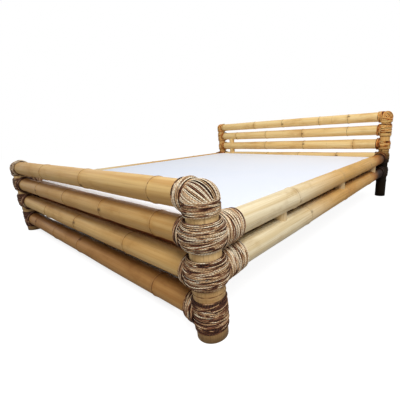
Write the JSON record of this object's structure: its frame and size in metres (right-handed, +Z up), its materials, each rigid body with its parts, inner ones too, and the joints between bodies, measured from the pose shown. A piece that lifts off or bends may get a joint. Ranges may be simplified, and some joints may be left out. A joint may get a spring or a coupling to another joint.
{
  "type": "bed",
  "caption": "Lashed bamboo double bed with a footboard and headboard of level culms, rattan bound corner posts and a sunk white mattress",
  "frame": {"origin": "centre of the bed's outline on the floor, bottom of the posts", "axes": "X across the bed, +Y from the foot to the head, +Z up"},
  "size_m": [2.073, 2.2932, 0.7328],
  "materials": {
    "bamboo_tan": "smooth natural bamboo skin with fine fibre streaks",
    "bamboo_pale": "pale bamboo skin with olive and brown mottling",
    "bamboo_gold": "golden bamboo skin, satin",
    "bamboo_post": "bamboo post, darker towards the floor",
    "rattan": "split rattan strands, light and dark mixed",
    "softwood": "planed pine",
    "board_wood": "brown stained board",
    "steel": "plain zinc plated steel",
    "ticking": "white woven cotton"
  },
  "bodies": {
    "frame": {"foot_post_left": "bamboo_post", "foot_post_right": "bamboo_post", "head_post_left": "bamboo_post", "head_post_right": "bamboo_post", "foot_rail_1": "bamboo_tan", "foot_rail_2": "bamboo_tan", "foot_rail_3": "bamboo_tan", "foot_rail_4": "bamboo_tan", "head_rail_1": "bamboo_gold", "head_rail_2": "bamboo_gold", "head_rail_3": "bamboo_gold", "head_rail_4": "bamboo_gold", "head_rail_5": "bamboo_gold", "side_rail_upper_left": "bamboo_pale", "side_rail_upper_right": "bamboo_pale", "side_rail_lower_left": "bamboo_pale", "side_rail_lower_right": "bamboo_pale", "side_spacers_left": "bamboo_tan", "side_spacers_right": "bamboo_tan", "head_spacers": "bamboo_tan", "foot_lashing_left_1": "rattan", "foot_lashing_left_2": "rattan", "foot_lashing_left_3": "rattan", "foot_lashing_left_4": "rattan", "foot_lashing_right_1": "rattan", "foot_lashing_right_2": "rattan", "foot_lashing_right_3": "rattan", "foot_lashing_right_4": "rattan", "head_lashing_left_1": "rattan", "head_lashing_left_2": "rattan", "head_lashing_left_3": "rattan", "head_lashing_left_4": "rattan", "head_lashing_left_5": "rattan", "head_lashing_right_1": "rattan", "head_lashing_right_2": "rattan", "head_lashing_right_3": "rattan", "head_lashing_right_4": "rattan", "head_lashing_right_5": "rattan", "post_plugs": "softwood", "foot_rail_plugs": "softwood", "head_rail_plugs": "softwood", "side_rail_plugs": "softwood", "post_pegs": "softwood", "foot_rail_pegs": "softwood", "head_rail_pegs": "softwood", "side_rail_pegs": "softwood", "ledger_left": "softwood", "ledger_right": "softwood", "ledger_screws": "steel", "ledger_washers": "steel", "foot_stop_board": "board_wood", "head_stop_board": "board_wood", "centre_beam": "softwood", "centre_legs": "softwood", "slats": "softwood"},
    "mattress": {"mattress": "ticking"}
  },
  "joints": [
    {"name": "mattress_lift", "type": "slide", "parent": "frame", "child": "mattress", "axis": [0, 0, 1], "range_m": [0, 0.35]}
  ]
}
